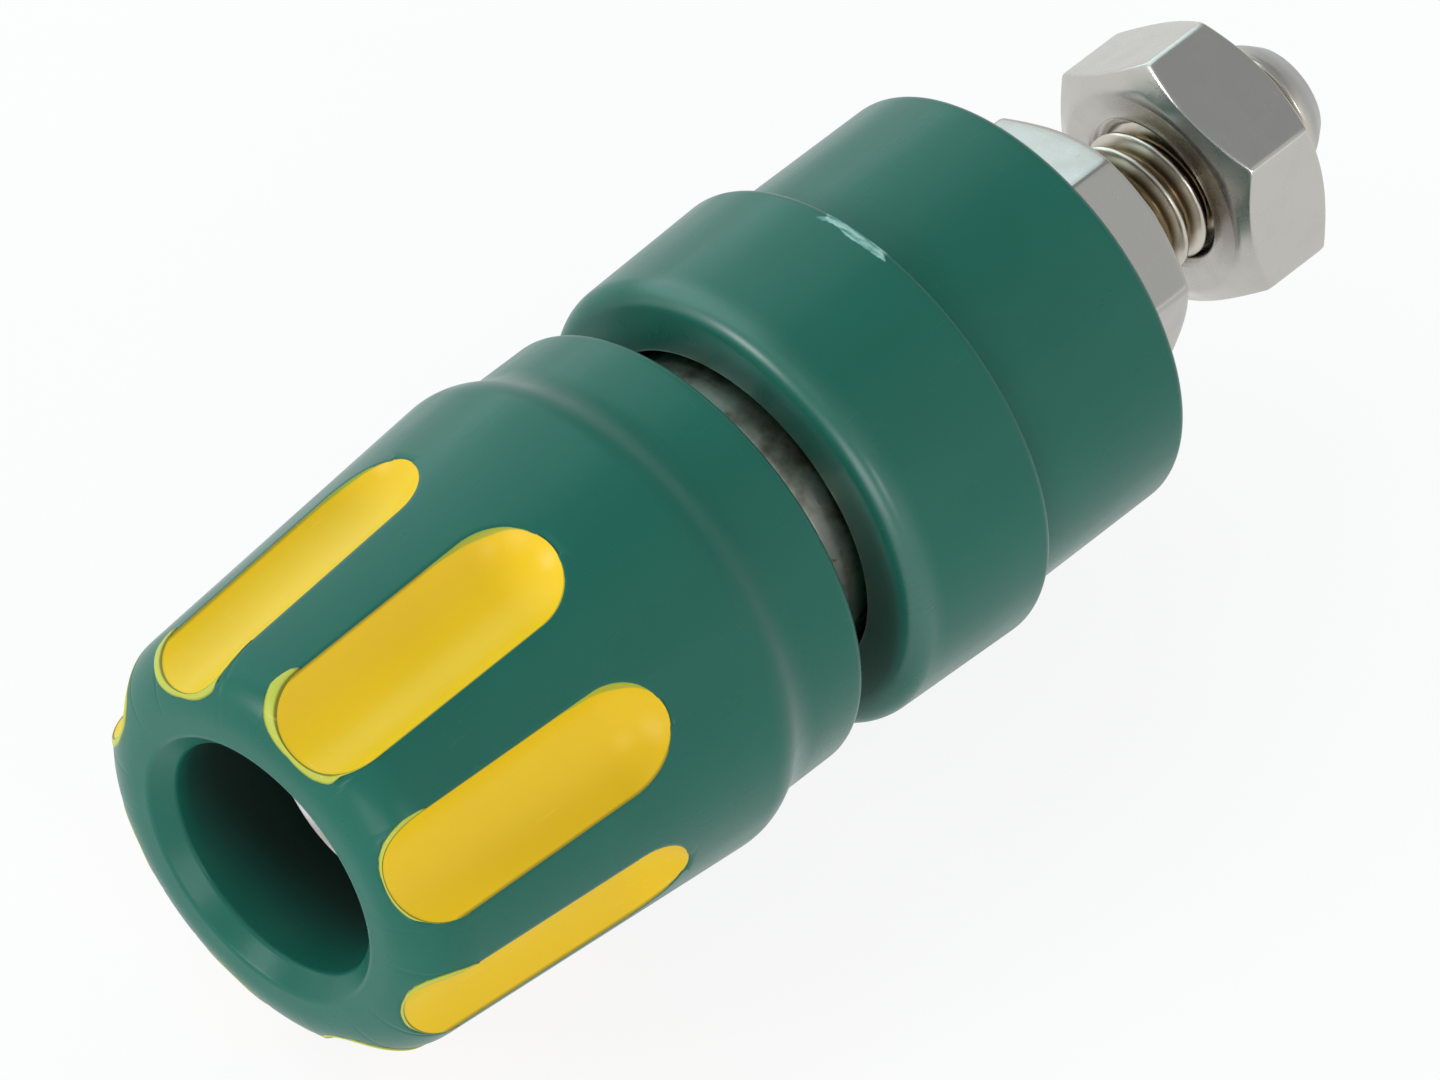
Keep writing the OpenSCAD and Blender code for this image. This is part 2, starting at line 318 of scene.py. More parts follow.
# %% [markdown]
# ## Flutes
# Each flute was formed by a round-ended bar lying along the taper: a cylinder that ends in a half
# ball at the rear and runs out over the front edge. Its radius follows from the width and depth
# that it cuts halfway along. The radius at which a ray from the axis meets the bar is the smaller
# root of a quadratic, so the whole flute is one formula. A boolean would cut the same shape, but
# the columns of this grid can lie exactly on the edge of the flute and keep it crisp.

# %% Work out the flute surfaces
flute_count, flute_turn = 8, math.radians(14.5)
half_pitch, tilt = math.pi / flute_count, math.atan(taper_slope)
middle_r = knob_front_r + taper_slope * flute_reach / 2
drop = flute_depth - middle_r + math.sqrt(middle_r ** 2 - flute_half ** 2)
bar_r = (flute_half ** 2 + drop ** 2) / (2 * drop)
bar_end = tip_y - flute_half
bar_height = cone(bar_end) - flute_depth + bar_r
NO_CUT, NOTHING = 1000.0, 1e-9


def lower_root(a, b, c):
    """The smaller root of a quadratic with the factors a, b and c: minus b, less the root of
    b squared less four a c, over twice a. Where it has none, a radius too large to cut anything."""
    inside = b * b - 4 * a * c
    return np.where(inside > 0, (-b - np.sqrt(np.maximum(inside, 0))) / (2 * a), NO_CUT)


def flute_floor(angle, station):
    """Radius of the flute surface: the nearer crossing of a ray from the axis, at an angle from
    the flute's middle, with a bar along the taper that ends in a half ball. A point is on the bar
    where its distance from the bar's axis is the bar's radius, and on the ball where its distance
    from the axis's end is. Both are quadratics in the point's own radius."""
    angle, station = np.broadcast_arrays(angle, station)
    along, lean = station - bar_end, np.cos(angle) * math.sin(tilt)
    shift = along * math.cos(tilt) - bar_height * math.sin(tilt)
    away = bar_height ** 2 + along ** 2
    bar = lower_root(1 - lean ** 2, -2 * bar_height * np.cos(angle) - 2 * shift * lean,
                     away - shift ** 2 - bar_r ** 2)
    ball = lower_root(np.ones_like(lean), -2 * bar_height * np.cos(angle), away - bar_r ** 2)
    behind = along * math.cos(tilt) + (bar * np.cos(angle) - bar_height) * math.sin(tilt) > 0
    return np.where(behind, ball, bar)


def crossing(gap, low, high, halvings=40):
    """Where gap, which is positive at low, changes its sign: halves whole arrays of intervals."""
    low, high = np.array(low, float), np.array(high, float)
    for _ in range(halvings):
        middle = (low + high) / 2
        positive = gap(middle) > NOTHING
        low, high = np.where(positive, middle, low), np.where(positive, high, middle)
    return (low + high) / 2


def half_angle(station):
    """Angle from the middle of a flute to its rim: where the bar leaves the straight taper."""
    station = np.asarray(station, float)
    return crossing(lambda a: cone(station) - flute_floor(a, station),
                    np.zeros_like(station), np.full_like(station, half_pitch))


flute_angles = flute_turn + full_turn(flute_count)
rear_tip = float(crossing(lambda y: cone(y) - flute_floor(0.0, y), tip_y - 1.0, tip_y + 0.5))
print("bar of radius", round(bar_r, 3), "mm, flutes end at", round(rear_tip, 3), "mm")

# %% [markdown]
# ## The green shell
# The flutes of the shell carry yellow strips, so under each strip the green lies a little deeper.
# The columns of the grid bend with the flutes: one always lies on the rim of a flute, so the rim
# is a clean line from the front edge to the rounded tip. Between the rim and the next column the
# green drops as a small wall. Pockets cut with a Boolean modifier would have the same form, but
# long thin faces that shade badly. An attribute holds painted shade for the wall of the mouth: it
# grows with the depth below the front, and more on the -X side, so the bore is painted darker.

# %% Make the knob shell
strip_bed, bed_ramp, rim_round, rim_drop, rim_fade = 0.12, 0.1, 0.05, 0.02, 0.4
just_inside = 0.999
narrow, wide, widening = 0.006, half_pitch * 0.6, 1.2
# Painted shade in the mouth: the radius of its wall, the side where the shade is stronger, how much
# more, and the depth where that starts.
mouth_wall_r, shade_side, shade_extra, shade_start = 3.6, math.radians(-80), 1.3, 0.5
# Where the columns lie, as shares of the way from the middle of a flute to its rim, and of the way
# from the rim to the middle of the land. They gather at the rim.
inside = np.concatenate([np.linspace(0, 0.9, 6), [0.96, 0.985]])
outside = np.concatenate([[0.0], 0.012 + 0.988 * np.linspace(0, 1, 14) ** 1.6])
row_y, land_r = outline[outer, 1], outline[outer, 0]
grown = unit((row_y - rear_tip) / widening) ** 0.5
rim = np.full((len(outline), 1), wide)
rim[outer, 0] = np.where(row_y < rear_tip, np.maximum(half_angle(row_y), narrow),
                         narrow + wide * grown)
half = np.concatenate([rim * inside, rim + (half_pitch - rim) * outside], axis=1)
local = np.concatenate([-half[:, :0:-1], half[:, :-1]], axis=1)
beside, land = np.abs(local[outer]), land_r[:, None]
cut_r = flute_floor(local[outer], row_y[:, None])
bed = cut_r - strip_bed * unit((land - cut_r) / bed_ramp)
from_rim = (beside - rim[outer]) * land / rim_round
before_tip = unit((rear_tip - row_y[:, None]) / rim_fade)
rounding = rim_drop * np.exp(-from_rim ** 2) * before_tip
radius = np.repeat(outline[:, :1], local.shape[1], axis=1)
in_flute = (beside < just_inside * rim[outer]) & (cut_r < land)
radius[outer] = np.where(in_flute, bed, land - rounding)
knob_angle = (local[:, None, :] + flute_angles[None, :, None]).reshape(len(outline), -1)
knob_radius = np.tile(radius, (1, flute_count))
# Painted shade: the wall of the mouth is darkened with its depth, and more on the -X side.
in_mouth = np.where(outline[:, 0] < mouth_wall_r, outline[:, 1] - front_y, 0)
in_mouth[-1] = in_mouth.max()
deeper = unit(in_mouth / shade_start - 1)[:, None]
painted_shade = in_mouth[:, None] + shade_extra * facing(knob_angle, shade_side) ** 2 * deeper
knob_shell = add_piece("green_knob", carried_round(knob_radius, outline[:, 1:], knob_angle),
                       "knob", ["knob_shell"], marks={"painted_shade": painted_shade})

# %% [markdown]
# ## The yellow strips
# A strip covers the floor of its flute from rim to rim. The yellow could be a colour on the knob,
# but on the real part it is a second moulding with a body of its own, so each strip is a piece.
# At the front edge of the knob the yellow wells out of the flute as a thin film over the green. The
# two mouldings don't sit quite centred in each other, so the film is wide on one side of the knob
# and hardly shows on the other. Along the rear part of the upper rim a little yellow has crept over
# the green too, as a thin wedge.
# A strip is a closed skin: its upper side carries the film and the floor, and its under side is the
# same grid pressed a little deeper. Three attributes tell the finish where the film, the border
# line and the wedge are.

# %% Make the yellow strips
strip_sink, strip_body, strip_overlap = 0.02, 0.22, 1.003
film_height, film_edge, film_full, film_rows, film_search = 0.05, 0.04, 0.2, 8, 2.3
wedge_start, wedge_ramp, wedge_end, no_wedge, least_half = 0.6, 0.25, 0.1, 0.001, 0.3
film_width = np.array([0.44, 0.15, 0.18, 0.20, 0.22, 0.18, 0.30, 0.38])
wedge_width = np.array([0.11, 0.20, 0.07, 0.10, 0.14, 0.06, 0.10, 0.05])
film_at = [0, 0.06, 0.14, 0.30, 0.48, 0.60, 0.70, 0.76, 1]
film_share = [0, 0.5, 1.0, 0.85, 0.38, 0.55, 0.60, 0.1, 0]
# Columns gather at both rims, and rows at the front border and towards the rounded tip.
across = np.sin(np.linspace(-np.pi / 2, np.pi / 2, 45))
along = np.concatenate([[0.006, 0.012], np.linspace(0.02, 0.8, 40),
                        0.8 + 0.2 * np.sin(np.linspace(0, np.pi / 2, 24))[1:]])[:, None]
outer_steps = np.linalg.norm(np.diff(outline[outer], axis=0), axis=1)
arc_at = np.concatenate([[0], np.cumsum(outer_steps)])


def above_land(station):
    """How far the floor of a flute still lies above the rounded front edge, across the flute."""
    return flute_floor(across * half_angle(station), station) - np.interp(station, row_y, land_r)


def strip_grid(film, wedge):
    """Angle, station, radius and marks of the points. Rows run from the front of the film to the
    border of the floor and on to the rear tip, and columns from rim to rim. The film is the
    border moved outward on the unrolled surface, by a width that changes along it."""
    begin = crossing(above_land, np.full_like(across, front_y),
                     np.full_like(across, front_y + film_search), halvings=34)
    border_arc = np.interp(begin, row_y, arc_at)
    border_side = across * half_angle(begin) * np.interp(begin, row_y, land_r)
    slope_side, slope_arc = np.gradient(border_side), np.gradient(border_arc)
    length = np.hypot(slope_side, slope_arc)
    width = film * np.interp(np.cumsum(length) / np.sum(length), film_at, film_share)
    share = np.linspace(1, 0, film_rows)[:, None]
    film_side = border_side + share * width * slope_arc / length
    film_arc = border_arc - share * width * np.abs(slope_side) / length
    film_y, film_r = np.interp(film_arc, arc_at, row_y), np.interp(film_arc, arc_at, land_r)
    swell = film_height * np.sin(np.pi * share) ** 0.6 * unit(width / film_full)
    floor_y = begin + (rear_tip - begin) * along
    floor_half = half_angle(floor_y)
    floor_angle = across * floor_half * strip_overlap
    floor_r = np.minimum(flute_floor(floor_angle, floor_y), cone(floor_y)) - strip_sink
    from_rim = (1 - np.abs(across)) * np.maximum(floor_half * floor_r, least_half)
    reach = (wedge * unit((along - wedge_start) / wedge_ramp)
             * unit((1 - along) / wedge_end) + no_wedge)
    crept = unit(1.2 - from_rim / reach) * (across < 0)
    angle = np.concatenate([film_side / film_r, floor_angle])
    station = np.concatenate([film_y, floor_y])
    radius = np.concatenate([film_r + swell - np.where(share == 1, film_edge, 0), floor_r])
    marks = {"film": np.concatenate([0.15 + 0.85 * share, np.zeros_like(along)]),
             "rim": np.concatenate([np.ones_like(film_side), from_rim]),
             "crept": np.concatenate([np.zeros_like(film_side), crept])}
    return angle, station, radius, marks


strips = []
for number, (middle, film, wedge) in enumerate(zip(flute_angles, film_width, wedge_width), start=1):
    angle, station, radius, marks = strip_grid(film, wedge)
    # The under side is pressed in everywhere but along the rims and in the first row.
    press = (1 - np.abs(across) ** 6) * unit(np.arange(len(angle)) / 2)[:, None]
    upper = carried_round(radius, station, angle + middle)
    under = carried_round(radius - strip_body * press, station, angle + middle)
    both = {label: np.concatenate([values, values[::-1]]) for label, values in marks.items()}
    strips.append(add_piece(f"yellow_strip_{number}", np.concatenate([upper, under[::-1]]),
                            "knob", [f"yellow_inlay_{number}"],
                            (True, False), both, WELD))
print("films are", film_width, "mm wide")

# %% [markdown]
# ## The insulators
# Two plain turned-looking mouldings sit either side of the panel. The front one is a cup with a
# rounded front edge that hides the collar of the post, and the rear one is a smaller drum. A Screw
# modifier could turn their profiles, but a grid also carries attributes from point to point. Two of
# them on the front one say where its edge is polished by handling, and where painted shade darkens
# its face in the gap under the knob.

# %% Make the two insulators
flange_round, small_round, spigot_round, hard_edge, meeting_edge = 0.6, 0.3, 0.2, 0.1, 0.05
spigot_r, spigot_length, spigot_play = 4.5, 4.0, 0.1
flange_front_r, flange_rear_r, flange_y = 6.725, flange_high[0], flange_low[1]
recess_r, recess_y, stud_hole_r = 4.85, -2.6, 2.1
polish_side, polish_inset, polish_reach = math.radians(35), 0.2, 0.5
polish_core, polish_least, polish_ramp = 1.5, 0.3, 0.35
# Painted shade on the face in the gap under the knob: its side, its strength, and where on the face
# it lies.
gap_shade_side, gap_shade, face_inset, face_ramp, face_thick = math.radians(95), 2.4, 0.25, 0.6, 0.3
front_outline = soft_profile([
    (stud_hole_r, recess_y, 0),
    (recess_r, recess_y, hard_edge),
    (recess_r, flange_y, hard_edge),
    (flange_front_r, flange_y, flange_round),
    (flange_rear_r, 0.0, small_round),
    (spigot_r, 0.0, hard_edge),
    (spigot_r, spigot_length, spigot_round),
    (stud_hole_r, spigot_length, hard_edge)], steps=12, longest=0.25)
front_r, front_at, flange_angle = front_outline[:, :1], front_outline[:, 1:], full_turn(COLUMNS)
edge_reach = np.hypot(front_r - flange_front_r + polish_inset, front_at - flange_y - polish_inset)
polish = (unit(polish_core - edge_reach / polish_reach)
          * unit((np.cos(flange_angle - polish_side) - polish_least) / polish_ramp))
# Painted shade: the face is darkened towards its inner edge in the gap under the knob, most on the
# +X side.
on_face = (unit((flange_front_r - face_inset - front_r) / face_ramp)
           * (front_at < flange_y + face_thick))
front_insulator = add_piece("front_insulator_skin", turned_grid(front_outline),
                            "base", ["front_insulator"],
                            marks={"polish": polish,
                                   "painted_shade": gap_shade * on_face * facing(flange_angle, gap_shade_side)})
cup_r, cup_y = spigot_r + spigot_play, spigot_length + spigot_play
rear_outline = soft_profile([
    (stud_hole_r, cup_y, 0),
    (cup_r, cup_y, hard_edge),
    (cup_r, 0.0, hard_edge),
    (rear_r, 0.0, meeting_edge),
    (rear_r, rear_y, small_round),
    (stud_hole_r, rear_y, hard_edge)], steps=12, longest=0.25)
rear_insulator = add_piece("rear_insulator_skin", turned_grid(rear_outline),
                           "base", ["rear_insulator"])

# %% [markdown]
# ## The nuts
# A nut is a hexagon with both faces turned off by a cone of 30 degrees, which leaves the curved
# creases at the ends of the flats. A prism cut by two cones with Boolean modifiers has this form
# too, but with dead sharp edges. Here the radius is the lesser of the hexagon and the cones. The
# rows of the grid are drawn so that one lies exactly on the crease, and the columns gather at the
# six corners, so both stay crisp. How far each nut is turned is read from its solid.

# %% Make the two nuts
nut_flat_r, nut_face_r, nut_slope = 3.5, 3.05, math.tan(math.radians(30))
nut_corner_round, crease_drop, crease_round, far_enough = 0.15, 0.018, 0.06, 0.02
nut_face = np.array([(2.0, 0.3), (2.12, 0.14), (2.25, 0.02), (2.32, 0), (2.6, 0), (2.8, 0), (3, 0)])
cone_rows = np.array([0, 0.3, 0.6, 0.85, 0.95])[:, None]
flat_rows = np.array([0, 0.04, 0.1, 0.3, 0.65, 1.0])[:, None]


def soft_min(a, b, width):
    """The smaller of two heights. Over about this width they are mixed, less a parabola that
    rounds the corner between them."""
    share = unit(0.5 + 0.5 * (b - a) / width)
    return b * (1 - share) + a * share - width * share * (1 - share)


def corner_turn(name):
    """Angle about the axis of the first corner of a hexagonal solid, from its furthest points: the
    mean of their directions, each turned six times as far so that all six corners agree."""
    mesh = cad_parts[name].data
    spots = np.empty(len(mesh.vertices) * 3)
    mesh.vertices.foreach_get("co", spots)
    spots = spots.reshape(-1, 3) / MM
    far = np.hypot(spots[:, 0], spots[:, 2])
    angle = np.arctan2(spots[:, 0], spots[:, 2])[far > far.max() - far_enough]
    return float(np.angle(np.mean(np.exp(6j * angle))) / 6)


def nut_grid(low, high, turn):
    """A loop of rows: through the bore, out over one face, up its cone to the crease, along the
    flats to the other crease and back over the other face. The hexagon's radius is that of its
    flats divided by the cosine of the angle from the middle of a flat."""
    # The columns of a flat run from corner to corner, and gather at both.
    ramp = np.linspace(-1, 1, 33)[:-1]
    ramp = np.sign(ramp) * (1 - (1 - np.abs(ramp)) ** 2.2) * np.pi / 6
    angle = (np.arange(6)[:, None] * np.pi / 3 + np.pi / 6 + ramp).ravel() + turn
    off = np.abs((angle - turn) % (np.pi / 3) - np.pi / 6)
    hexagon = soft_min(nut_flat_r / np.cos(off), nut_flat_r / np.cos(np.pi / 3 - off),
                       nut_corner_round)
    crease = (hexagon - nut_face_r) * nut_slope
    cone_r = nut_face_r + cone_rows * (hexagon - nut_face_r)
    flat_y = crease + ((high - low) / 2 - crease) * flat_rows
    flat_r = hexagon - crease_drop * np.exp(-(flat_y - crease) / crease_round)
    side_r = np.concatenate([nut_face[:, :1] + 0 * hexagon, cone_r, flat_r])
    side_y = np.concatenate([nut_face[:, 1:] + 0 * hexagon, cone_rows * crease, flat_y])
    ring_r = np.concatenate([side_r, side_r[-2::-1]])
    ring_y = np.concatenate([low + side_y, high - side_y[-2::-1]])
    return carried_round(ring_r, ring_y, angle)


nuts = []
for name, body in (("fixing_nut", "base"), ("terminal_nut", "nut")):
    low, high = span(name)
    turn = corner_turn(name)
    nuts.append(add_piece(name + "_skin", nut_grid(low[1], high[1], turn), body, [name]))
    print(name, "has a corner at", round(math.degrees(turn), 1), "degrees")

# %% [markdown]
# ## Threads
# The post was turned from one bar: a bored tube in front with a thread for the knob, a collar in
# the middle, and an M4 stud behind. A thread needs no modifier: its depth depends only on how far
# along the helix a point lies, so one formula serves both threads. The stud ends in a low dome
# without a thread. One attribute says how deep a point lies in the thread, and another how worn
# it is, which is most at the end.

# %% Make the stud
stud_r, stud_pitch, stud_depth, stud_chamfer = 2.0, 0.7, 0.40, 0.5
stud_start, stud_dome, stud_core, cap_inset = -0.6, 0.1, 0.8, 0.01
plain_length, run_out_length, chamfer_slope, chamfer_round = 0.8, 0.5, 0.75, 0.3
worn_length, worn_ramp, crest_share, flank_share = 1.0, 0.4, 0.14, 0.62
stud_row, last_row_gap = stud_pitch / 18, 0.02
stud_tip = post_high[1] - stud_dome


def thread_share(angle, station, pitch):
    """How deep a right-hand thread is cut at a place, from 0 on its flat crest to 1 in its root.
    The turns along the helix are the station over the pitch, less the angle over a full turn. The
    share grows evenly with the distance from the crest, and is cut off."""
    turns = station / pitch - angle / (2 * np.pi)
    return unit((np.abs((turns % 1) - 0.5) * 2 - crest_share) / flank_share)


stud_y = np.append(np.arange(stud_start, stud_tip - last_row_gap, stud_row), stud_tip)[:, None]
stud_angle = full_turn(columns=120)
stud_share = (thread_share(stud_angle, stud_y, stud_pitch)
              * unit((stud_tip - plain_length - stud_y) / run_out_length))
chamfer = stud_r - stud_chamfer + chamfer_slope * (stud_tip - stud_y)
stud_shape = soft_min(stud_r - stud_depth * stud_share, chamfer, chamfer_round)
start_cap = carried_round(np.array([[0.0], [stud_core]]), stud_start, stud_angle)
cap = np.array([1.0, 0.97, 0.9, 0.7, 0.4, 0.0])[:, None]
end_cap = carried_round(cap * (stud_r - stud_chamfer - cap_inset),
                        stud_tip + stud_dome * (1 - cap ** 4), stud_angle)
stud_grid = np.concatenate([start_cap, carried_round(stud_shape, stud_y, stud_angle), end_cap])
worn = unit((stud_y - stud_tip + worn_length) / worn_ramp)
caps = ((len(start_cap), len(end_cap)), (0, 0))
stud = add_piece("stud_thread", stud_grid, "base", loops=(False, True), weld=WELD,
                 marks={"sunk": np.pad(stud_share, caps), "rubbed": np.pad(worn, caps, "edge")})

# %% [markdown]
# ## The tube and the collar
# The tube is a turned grid too, from the point of its bore, out over the wide lead-in of its front
# end and along the thread to the collar. Plugs have worn the bore's end and its lead-in. The hole
# for the wire crosses the tube, and meets both walls in curves that a plain grid can't follow. So
# the finished grid goes through a Boolean modifier with a flared cutter, and only its result is
# kept.

# %% Make the tube and cut the wire hole
tube_r, tube_pitch, tube_depth, tube_y = 2.95, 1.0, 0.38, post_low[1]
bore_r, bore_end, drill_point, lead_in, bore_round, tip_round = 2.0, -4.15, 1.0, 0.91, 0.1, 0.02
collar_r, collar_y, collar_end, collar_round, boss_play = 4.5, ring_high[1], -2.6, 0.12, 0.05
tip_drop, tip_length, neck_length, run_out_start, tube_run_out = 0.02, 0.1, 0.04, 0.75, 0.3
wire_y, wire_r, flare_r, flare_x, straight_x = -7.45, 1.3, 2.7, 4.2, 2.62
thread_from, thread_gap, tube_row = 0.13, 0.05, tube_pitch / 14
rubbed_length, sharp_angle, root_r, boss_y = 1.2, 40, tube_r - tube_depth, stud_start + 0.3
inner = soft_profile([
    (0.0, bore_end + drill_point, 0),
    (bore_r, bore_end, 0),
    (bore_r, tube_y + lead_in, bore_round),
    (bore_r + lead_in, tube_y, tip_round),
    (tube_r - tip_drop, tube_y + tip_length, 0)], steps=5, longest=0.1)
thread_y = np.arange(tube_y + thread_from, collar_y - thread_gap, tube_row)
outer_part = soft_profile([
    (root_r, collar_y - neck_length, 0),
    (root_r, collar_y, 0),
    (collar_r, collar_y, collar_round),
    (collar_r, collar_end, collar_round),
    (stud_r + boss_play, collar_end, 0),
    (stud_r + boss_play, boss_y, 0),
    (0.0, boss_y, 0)], steps=6, longest=0.3)
threaded = np.stack([np.full_like(thread_y, tube_r), thread_y], axis=1)
tube_outline = np.concatenate([inner, threaded, outer_part])
tube_at = tube_outline[:, 1:]
on_thread = np.zeros_like(tube_at)
on_thread[len(inner):len(inner) + len(thread_y)] = 1
tube_angle = full_turn(columns=144)
run_out = unit((collar_y - run_out_start - tube_at) / tube_run_out)
cut_share = on_thread * (1 - run_out * (1 - thread_share(tube_angle, tube_at, tube_pitch)))
tube_grid = carried_round(tube_outline[:, :1] - tube_depth * cut_share, tube_at, tube_angle)
rubbed = (tube_at < tube_y + rubbed_length) * (1 - on_thread)
tube = add_piece("post_tube", tube_grid, "base", ["contact_post"], (False, True),
                 {"sunk": cut_share, "rubbed": rubbed}, WELD)
cutter_form = np.array([(0.0, -flare_x), (flare_r, -flare_x), (wire_r, -straight_x),
                        (wire_r, straight_x), (flare_r, flare_x), (0.0, flare_x)])
along_x = turned_grid(cutter_form, columns=72)[:, ::-1, [1, 0, 2]]
cutter = add_piece("wire_hole_cutter", along_x + (0, wire_y, 0), "base",
                   loops=(False, True), weld=WELD)
cut = tube.modifiers.new("wire_hole", "BOOLEAN")
cut.object, cut.operation, cut.solver = cutter, "DIFFERENCE", "EXACT"
evaluated = tube.evaluated_get(bpy.context.evaluated_depsgraph_get())
drilled = bpy.data.meshes.new_from_object(evaluated)
tube.modifiers.clear()
tube.data = drilled
bpy.data.objects.remove(cutter)
drilled.set_sharp_from_angle(angle=math.radians(sharp_angle))
print("drilled tube has", len(drilled.polygons), "faces and", list(drilled.attributes.keys()))

# %% [markdown]
# ## The clamping ring
# The ring turns loosely on the neck of the knob's insert and presses the wire down. Its outside
# carries a very fine straight knurl, which breaks up the reflections in the gap under the knob. A
# bump in the finish would do for that, but the knurl also shows at the outline of the ring when the
# knob is opened, so the radius of the grid dips between the ridges.

# %% Make the clamping ring
ring_r, ring_bore_r, counterbore_r, counterbore = ring_high[0], 3.7, 4.05, 0.8
ring_round, ring_edge, knurl_count, knurl_depth, knurl_ramp = 0.12, 0.05, 90, 0.03, 0.1
ridge_columns, ridge_power = 8, 0.8
ring_outline = soft_profile([
    (ring_bore_r, ring_high[1] - counterbore, 0),
    (ring_bore_r, ring_low[1], ring_edge),
    (ring_r, ring_low[1], ring_round),
    (ring_r, ring_high[1], ring_round),
    (counterbore_r, ring_high[1], ring_edge),
    (counterbore_r, ring_high[1] - counterbore, 0)], steps=5, longest=0.25)
ring_angle = full_turn(knurl_count * ridge_columns)
groove = np.abs(np.sin(ring_angle * knurl_count / 2)) ** ridge_power
on_outside = unit((ring_outline[:, :1] - ring_r + knurl_ramp) / knurl_ramp)
ring_radius = ring_outline[:, :1] - knurl_depth * on_outside * (1 - groove)
ring = add_piece("ring_skin", carried_round(ring_radius, ring_outline[:, 1:], ring_angle),
                 "clamp", ["clamp_ring"])

# %% [markdown]
# ## Networks of nodes
# A finish is a small network of nodes. It could be wired by hand in the Shader Editor, but the same
# few steps come back all the time. These helpers write each of them in one call: a sum, a mix of
# two colours, a noise at a real size, and a soft step. A step takes numbers, colours or outputs of
# earlier steps, joins the network of those, and gives back its own output. All patterns read Object
# coordinates, which are metres here, so a scale of 1000 gives marks about a millimetre wide.

# %% Define the steps of a network
COLOURS = ("Colour", "Pigment", "Plate", "Tarnish")
BUMP_DEPTH, NOISE_MEAN = 0.02 * MM, 0.5


def feed(socket, value):
    """Links an output to a socket, or sets the socket to a number or a colour."""
    if isinstance(value, bpy.types.NodeSocket):
        socket.id_data.links.new(value, socket)
    else:
        socket.default_value = value


def node(tree, kind, inputs=None, **settings):
    """Adds a node, sets its properties and then its sockets, and returns its outputs."""
    made = tree.nodes.new("ShaderNode" + kind)
    for key, value in settings.items():
        setattr(made, key, value)
    for key, value in (inputs or {}).items():
        feed(made.inputs[key], value)
    return made.outputs


def after(kind, inputs, **settings):
    """Adds a node to the network that the outputs among its inputs belong to."""
    outputs = [value for value in inputs.values() if isinstance(value, bpy.types.NodeSocket)]
    return node(outputs[0].id_data, kind, inputs, **settings)


def maths(operation, *values):
    """One step of arithmetic."""
    return after("Math", dict(enumerate(values)), operation=operation)[0]


def minus(a, b):
    """The first value less the second."""
    return maths("SUBTRACT", a, b)


def times(a, b):
    """The product of two values."""
    return maths("MULTIPLY", a, b)


def added(base, value, share):
    """The base and a share of another value."""
    return maths("MULTIPLY_ADD", value, share, base)


def larger(a, b):
    """The larger of two values."""
    return maths("MAXIMUM", a, b)


def mix(share, first, second):
    """Mixes two colours by a share from 0 to 1."""
    return after("Mix", {0: share, 6: first, 7: second}, data_type="RGBA")[2]


def step(value, low, high, start=0.0, end=1.0):
    """Moves a value from one range to another with soft ends."""
    return after("MapRange", {0: value, 1: low, 2: high, 3: start, 4: end},
                 interpolation_type="SMOOTHSTEP")[0]


def stretched(vector, scale, turn=(0, 0, 0)):
    """Turns and stretches the coordinates, which draws a pattern out into streaks."""
    return after("Mapping", {"Vector": vector, "Scale": scale, "Rotation": turn})[0]


def noise(vector, scale, detail=2.0):
    """Smooth noise from 0 to 1, with about scale blobs to the metre."""
    return after("TexNoise", {"Vector": vector, "Scale": scale, "Detail": detail})[0]


def mark(tree, label):
    """An attribute of the piece."""
    return node(tree, "Attribute", attribute_name=label)["Fac"]


def placed(tree, group, **values):
    """Places a node group with its own values."""
    return node(tree, "Group", values, node_tree=group)


def new_group(name, inputs, results=("Colour", "Roughness", "Height")):
    """A shader group, its inputs, its results and the place in the piece, in metres."""
    group = bpy.data.node_groups.new(name, "ShaderNodeTree")
    for side, labels in (("INPUT", inputs), ("OUTPUT", results)):
        for label in labels:
            kind = "NodeSocketColor" if label in COLOURS else "NodeSocketFloat"
            group.interface.new_socket(label, in_out=side, socket_type=kind)
    return (group, group.nodes.new("NodeGroupInput").outputs,
            group.nodes.new("NodeGroupOutput").inputs, node(group, "TexCoord")["Object"])


def emptied(thing):
    """Takes all nodes out of the network of a material or a world."""
    thing.use_nodes = True
    thing.node_tree.nodes.clear()
    return thing.node_tree


# %% [markdown]
# ## Floor and backdrop
# The socket lies on a white floor inside a low ring wall, under a plain pale sky. The floor shines
# by itself for the camera and for reflections, so that it stays white, and a small share of it is
# lit for real, so that it keeps a soft shadow. Stronger lamps would whiten it too, but they would
# wash out the green. The wall is there for the camera and for reflections only: it gives no soft
# light and throws no shadow.

# %% Make the floor, the wall and the sky
floor_gap, floor_half, shadow_share, matt_white = 0.02, 3.0, 0.12, (0.93, 0.93, 0.93, 1)
wall_r, wall_height, wall_glow, wall_columns = 1.6, 0.6, 0.91, 64
sky_colour, sky_strength, white = (0.93, 0.97, 1.0, 1), 0.46, (1, 1, 1, 1)
floor_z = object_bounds()[0][2] - floor_gap * MM


def backdrop(name, spots, faces):
    """An object from points and faces, with an empty network for its material."""
    mesh, material = bpy.data.meshes.new(name), bpy.data.materials.new(name)
    mesh.from_pydata(spots, [], faces)
    mesh.materials.append(material)
    return linked(name, mesh), emptied(material)


